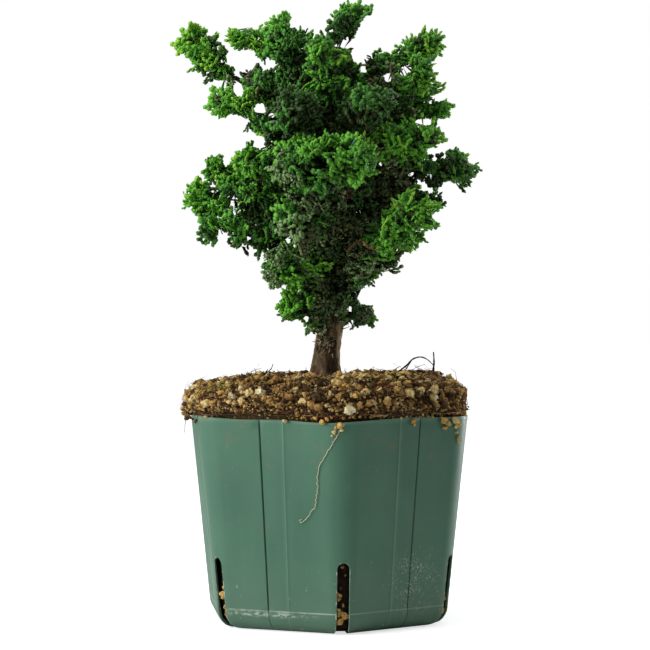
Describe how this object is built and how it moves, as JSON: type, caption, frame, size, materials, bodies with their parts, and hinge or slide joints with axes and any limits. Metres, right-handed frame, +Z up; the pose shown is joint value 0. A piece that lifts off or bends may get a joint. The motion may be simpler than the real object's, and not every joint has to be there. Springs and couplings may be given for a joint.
{
  "type": "potted dwarf conifer",
  "caption": "Young dwarf cypress with tight fans of blunt scale leaves on a leaning trunk, growing in a green hexagonal slit pot heaped with clay granules.",
  "frame": {"origin": "middle of the pot's flat underside", "axes": "+Z up along the pot's axis, -Y towards the front seen in the picture, +X to the right of it"},
  "size_m": [0.1319, 0.1274, 0.2663],
  "materials": {
    "pot": "green moulded plastic, satin, scuffed and whitened at the base crease",
    "soil": "matte damp clay granules, bark fibre and fine roots",
    "trunk": "matte stringy bark",
    "bough_top_left": "matte reddish-brown bark",
    "bough_crest": "matte reddish-brown bark",
    "bough_right_horn": "matte reddish-brown bark",
    "bough_right_upper": "matte reddish-brown bark",
    "bough_left_upper": "matte reddish-brown bark",
    "bough_left_mid": "matte reddish-brown bark",
    "bough_left_low": "matte reddish-brown bark",
    "bough_right_mid": "matte reddish-brown bark",
    "bough_right_far": "matte reddish-brown bark",
    "bough_right_low": "matte reddish-brown bark",
    "bough_centre_front": "matte reddish-brown bark",
    "bough_front_upper_right": "matte reddish-brown bark",
    "bough_front_upper_left": "matte reddish-brown bark",
    "bough_front_low": "matte reddish-brown bark",
    "bough_back_upper_left": "matte reddish-brown bark",
    "bough_back_upper_right": "matte reddish-brown bark",
    "bough_back_centre": "matte reddish-brown bark",
    "bough_back_low_left": "matte reddish-brown bark",
    "bough_back_low_right": "matte reddish-brown bark",
    "bough_back_low": "matte reddish-brown bark",
    "leader_crest": "green scale leaves, satin",
    "crest_left": "green scale leaves, satin",
    "left_horn": "bright yellow-green young scale leaves, satin",
    "left_shoulder": "dark dull green scale leaves, matte",
    "top_left_arm": "bright yellow-green young scale leaves, satin",
    "right_shoulder": "green scale leaves, satin",
    "right_horn": "green scale leaves, satin",
    "right_horn_under": "bright yellow-green young scale leaves, satin",
    "right_upper_pad": "green scale leaves, satin",
    "right_upper_low": "green scale leaves, satin",
    "left_upper_pad": "bright yellow-green young scale leaves, satin",
    "left_mid": "green scale leaves, satin",
    "left_mid_tip": "bright yellow-green young scale leaves, satin",
    "left_low": "bright yellow-green young scale leaves, satin",
    "left_low_under": "green scale leaves, satin",
    "right_mid": "bright yellow-green young scale leaves, satin",
    "right_far": "green scale leaves, satin",
    "right_low_far": "dark dull green scale leaves, matte",
    "right_low": "bright yellow-green young scale leaves, satin",
    "bottom_right": "dark dull green scale leaves, matte",
    "bottom_left": "dark dull green scale leaves, matte",
    "skirt_left": "green scale leaves, satin",
    "skirt_right": "dark dull green scale leaves, matte",
    "skirt_back": "dark dull green scale leaves, matte",
    "centre_front": "bright yellow-green young scale leaves, satin",
    "front_upper_right": "green scale leaves, satin",
    "front_upper_left": "green scale leaves, satin",
    "front_top": "green scale leaves, satin",
    "front_low": "dark dull green scale leaves, matte",
    "back_top": "green scale leaves, satin",
    "back_upper_left": "green scale leaves, satin",
    "back_upper_right": "green scale leaves, satin",
    "back_centre": "green scale leaves, satin",
    "back_low_left": "green scale leaves, satin",
    "back_low_right": "green scale leaves, satin",
    "back_low": "dark dull green scale leaves, matte"
  },
  "bodies": {
    "root": {"pot": "pot", "soil": "soil", "trunk": "trunk", "bough_top_left": "bough_top_left", "bough_crest": "bough_crest", "bough_right_horn": "bough_right_horn", "bough_right_upper": "bough_right_upper", "bough_left_upper": "bough_left_upper", "bough_left_mid": "bough_left_mid", "bough_left_low": "bough_left_low", "bough_right_mid": "bough_right_mid", "bough_right_far": "bough_right_far", "bough_right_low": "bough_right_low", "bough_centre_front": "bough_centre_front", "bough_front_upper_right": "bough_front_upper_right", "bough_front_upper_left": "bough_front_upper_left", "bough_front_low": "bough_front_low", "bough_back_upper_left": "bough_back_upper_left", "bough_back_upper_right": "bough_back_upper_right", "bough_back_centre": "bough_back_centre", "bough_back_low_left": "bough_back_low_left", "bough_back_low_right": "bough_back_low_right", "bough_back_low": "bough_back_low", "leader_crest": "leader_crest", "crest_left": "crest_left", "left_horn": "left_horn", "left_shoulder": "left_shoulder", "top_left_arm": "top_left_arm", "right_shoulder": "right_shoulder", "right_horn": "right_horn", "right_horn_under": "right_horn_under", "right_upper_pad": "right_upper_pad", "right_upper_low": "right_upper_low", "left_upper_pad": "left_upper_pad", "left_mid": "left_mid", "left_mid_tip": "left_mid_tip", "left_low": "left_low", "left_low_under": "left_low_under", "right_mid": "right_mid", "right_far": "right_far", "right_low_far": "right_low_far", "right_low": "right_low", "bottom_right": "bottom_right", "bottom_left": "bottom_left", "skirt_left": "skirt_left", "skirt_right": "skirt_right", "skirt_back": "skirt_back", "centre_front": "centre_front", "front_upper_right": "front_upper_right", "front_upper_left": "front_upper_left", "front_top": "front_top", "front_low": "front_low", "back_top": "back_top", "back_upper_left": "back_upper_left", "back_upper_right": "back_upper_right", "back_centre": "back_centre", "back_low_left": "back_low_left", "back_low_right": "back_low_right", "back_low": "back_low"}
  },
  "joints": []
}
